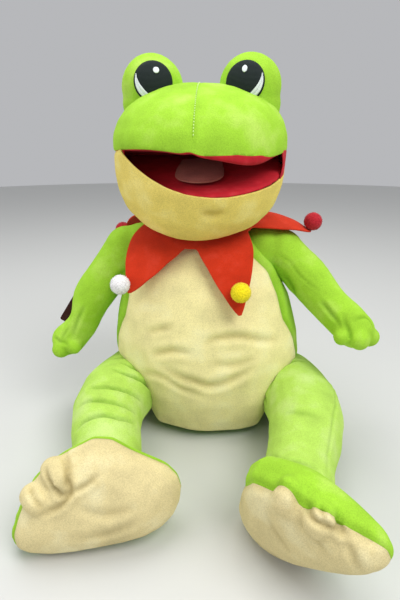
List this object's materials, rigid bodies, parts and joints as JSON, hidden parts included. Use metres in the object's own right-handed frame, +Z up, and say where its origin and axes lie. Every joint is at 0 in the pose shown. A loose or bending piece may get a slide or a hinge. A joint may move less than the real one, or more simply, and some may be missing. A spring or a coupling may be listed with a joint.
{
  "type": "hand puppet",
  "caption": "Seated plush frog hand puppet with a moving mouth, turning head, floppy stuffed arms and legs, a pointed felt collar with pompoms and a hand opening in the back.",
  "frame": {"origin": "middle of the seat's flat base, where the puppet sits", "axes": "+Z up, the puppet faces -Y, +X is the puppet's own left side"},
  "size_m": [0.4657, 0.4707, 0.4895],
  "materials": {
    "lime_plush": "short-pile plush, lime green",
    "cream_plush": "short-pile plush, cream",
    "seat_plush": "short-pile plush, lime green, seat side",
    "felt": "orange-red felt",
    "mouth_lining": "smooth red lining cloth",
    "tongue_cloth": "dusty pink felt",
    "pompom_white": "fluffy white",
    "pompom_yellow": "fluffy yellow",
    "pompom_red": "fluffy red",
    "eye_black": "satin embroidery, near black",
    "eye_white": "satin embroidery, white",
    "filling": "polyester filling",
    "sleeve_cloth": "smooth lining cloth, green",
    "pocket_cloth": "smooth lining cloth",
    "board": "plain stiff board",
    "tag_card": "printed card, plain maroon",
    "tag_cord": "clear plastic loop"
  },
  "bodies": {
    "torso": {"seat_panel": "seat_plush", "belly_panel": "cream_plush", "back_panel": "lime_plush", "torso_stuffing": "filling", "hand_sleeve": "sleeve_cloth", "opening_binding": "sleeve_cloth", "collar_felt": "felt", "pompom_white": "pompom_white", "pompom_yellow": "pompom_yellow", "pompom_red": "pompom_red", "pompom_back_white": "pompom_white", "pompom_back_yellow": "pompom_yellow", "pompom_back_red": "pompom_red"},
    "neck": {"neck_cover": "lime_plush", "neck_lining": "sleeve_cloth"},
    "head": {"head_cover": "lime_plush", "head_foam": "filling", "palate_lining": "mouth_lining", "palate_board": "board", "finger_pocket": "pocket_cloth", "eye_mound_left": "lime_plush", "eye_mound_right": "lime_plush", "eye_filling_left": "filling", "eye_filling_right": "filling", "eye_patch_left": "eye_black", "eye_patch_right": "eye_black", "eye_white_left": "eye_white", "eye_white_right": "eye_white", "eye_glint_left": "eye_white", "eye_glint_right": "eye_white"},
    "jaw": {"jaw_cover": "cream_plush", "jaw_foam": "filling", "mouth_floor_lining": "mouth_lining", "jaw_board": "board", "tongue": "tongue_cloth", "thumb_pocket": "pocket_cloth"},
    "shoulder_left": {"shoulder_ball_left": "filling"},
    "arm_left": {"arm_cover_left": "lime_plush", "arm_stuffing_left": "filling"},
    "shoulder_right": {"shoulder_ball_right": "filling"},
    "arm_right": {"arm_cover_right": "lime_plush", "arm_stuffing_right": "filling", "hang_tag": "tag_card", "tag_loop": "tag_cord"},
    "hip_left": {"hip_ball_left": "filling"},
    "leg_left": {"leg_cover_left": "lime_plush", "leg_stuffing_left": "filling", "foot_top_left": "lime_plush", "foot_sole_left": "cream_plush", "foot_stuffing_left": "filling"},
    "hip_right": {"hip_ball_right": "filling"},
    "leg_right": {"leg_cover_right": "lime_plush", "leg_stuffing_right": "filling", "foot_top_right": "lime_plush", "foot_sole_right": "cream_plush", "foot_stuffing_right": "filling"}
  },
  "joints": [
    {"name": "head_turn", "type": "hinge", "parent": "torso", "child": "neck", "pos_m": [-0.014, 0.012, 0.316], "axis": [0, 0, 1], "range_deg": [-20, 20]},
    {"name": "head_nod", "type": "hinge", "parent": "neck", "child": "head", "pos_m": [-0.014, 0.012, 0.316], "axis": [-1, 0, 0], "range_deg": [-1, 15]},
    {"name": "jaw_open", "type": "hinge", "parent": "head", "child": "jaw", "pos_m": [-0.014, 0.005, 0.376], "axis": [1, 0, 0], "range_deg": [-19, 1]},
    {"name": "arm_swing_left", "type": "hinge", "parent": "torso", "child": "shoulder_left", "pos_m": [0.09485, 0, 0.25], "axis": [-1, 0, 0], "range_deg": [-30, 45]},
    {"name": "arm_raise_left", "type": "hinge", "parent": "shoulder_left", "child": "arm_left", "pos_m": [0.09485, 0, 0.25], "axis": [0, -1, 0], "range_deg": [-2, 8]},
    {"name": "leg_swing_left", "type": "hinge", "parent": "torso", "child": "hip_left", "pos_m": [0.112, -0.022, 0.054], "axis": [1, 0, 0], "range_deg": [-2, 80]},
    {"name": "leg_splay_left", "type": "hinge", "parent": "hip_left", "child": "leg_left", "pos_m": [0.112, -0.022, 0.054], "axis": [0, 0, 1], "range_deg": [0, 30]},
    {"name": "arm_swing_right", "type": "hinge", "parent": "torso", "child": "shoulder_right", "pos_m": [-0.11915, 0, 0.25], "axis": [-1, 0, 0], "range_deg": [-30, 45]},
    {"name": "arm_raise_right", "type": "hinge", "parent": "shoulder_right", "child": "arm_right", "pos_m": [-0.11915, 0, 0.25], "axis": [0, 1, 0], "range_deg": [-2, 8]},
    {"name": "leg_swing_right", "type": "hinge", "parent": "torso", "child": "hip_right", "pos_m": [-0.112, -0.022, 0.054], "axis": [1, 0, 0], "range_deg": [-2, 80]},
    {"name": "leg_splay_right", "type": "hinge", "parent": "hip_right", "child": "leg_right", "pos_m": [-0.112, -0.022, 0.054], "axis": [0, 0, -1], "range_deg": [0, 30]}
  ]
}
